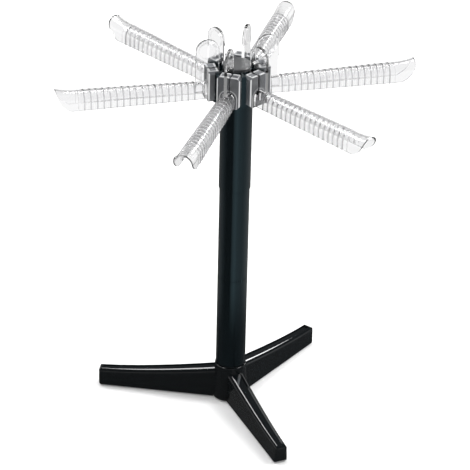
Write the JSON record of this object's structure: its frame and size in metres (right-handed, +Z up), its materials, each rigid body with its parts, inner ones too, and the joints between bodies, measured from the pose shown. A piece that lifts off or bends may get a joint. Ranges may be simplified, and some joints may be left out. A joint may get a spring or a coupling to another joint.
{
  "type": "pasta drying rack",
  "caption": "Free-standing pasta drying rack: clear ribbed arms plug into slots of a hub on a dark column that turns on splayed legs.",
  "frame": {"origin": "on the floor under the middle of the column, at the centre of the box's bottom face", "axes": "+Z up along the column; -Y towards one leg; the arms stand turned 8.5 degrees clockwise from +X, seen from above"},
  "size_m": [0.3682, 0.35, 0.42],
  "materials": {
    "black_plastic": "gloss",
    "clear_plastic": "clear gloss",
    "grey_plastic": "satin, with a metallic look",
    "steel": "bright zinc",
    "pad_rubber": "matt",
    "washer_plastic": "matt"
  },
  "bodies": {
    "base": {"base_socket": "black_plastic", "base_cover": "black_plastic", "base_cover_screws": "steel", "leg_1": "black_plastic", "leg_2": "black_plastic", "leg_3": "black_plastic", "foot_pad_1": "pad_rubber", "foot_pad_2": "pad_rubber", "foot_pad_3": "pad_rubber", "thrust_washer": "washer_plastic"},
    "column": {"turning_plug": "black_plastic", "pivot_washer": "steel", "pivot_screw": "steel", "column_lower": "black_plastic", "column_middle": "black_plastic", "column_upper": "black_plastic", "hub_core": "black_plastic", "slot_block_1": "grey_plastic", "slot_block_2": "grey_plastic", "slot_block_3": "grey_plastic", "slot_block_4": "grey_plastic", "slot_block_5": "grey_plastic", "slot_block_6": "grey_plastic", "slot_block_screws": "steel", "hub_bolt": "steel", "hub_nut": "steel", "centre_cap": "grey_plastic"},
    "arm_1": {"arm_1": "clear_plastic"},
    "arm_2": {"arm_2": "clear_plastic"},
    "arm_3": {"arm_3": "clear_plastic"},
    "arm_4": {"arm_4": "clear_plastic"},
    "arm_5": {"arm_5": "clear_plastic"},
    "arm_6": {"arm_6": "clear_plastic"}
  },
  "joints": [
    {"name": "column_turn", "type": "hinge", "parent": "base", "child": "column", "pos_m": [0, 0, 0.041], "axis": [0, 0, 1], "continuous": true},
    {"name": "arm_1_lift", "type": "slide", "parent": "column", "child": "arm_1", "axis": [0, 0, 1], "range_m": [0, 0.027]},
    {"name": "arm_2_lift", "type": "slide", "parent": "column", "child": "arm_2", "axis": [0, 0, 1], "range_m": [0, 0.027]},
    {"name": "arm_3_lift", "type": "slide", "parent": "column", "child": "arm_3", "axis": [0, 0, 1], "range_m": [0, 0.027]},
    {"name": "arm_4_lift", "type": "slide", "parent": "column", "child": "arm_4", "axis": [0, 0, 1], "range_m": [0, 0.027]},
    {"name": "arm_5_lift", "type": "slide", "parent": "column", "child": "arm_5", "axis": [0, 0, 1], "range_m": [0, 0.027]},
    {"name": "arm_6_lift", "type": "slide", "parent": "column", "child": "arm_6", "axis": [0, 0, 1], "range_m": [0, 0.027]}
  ]
}
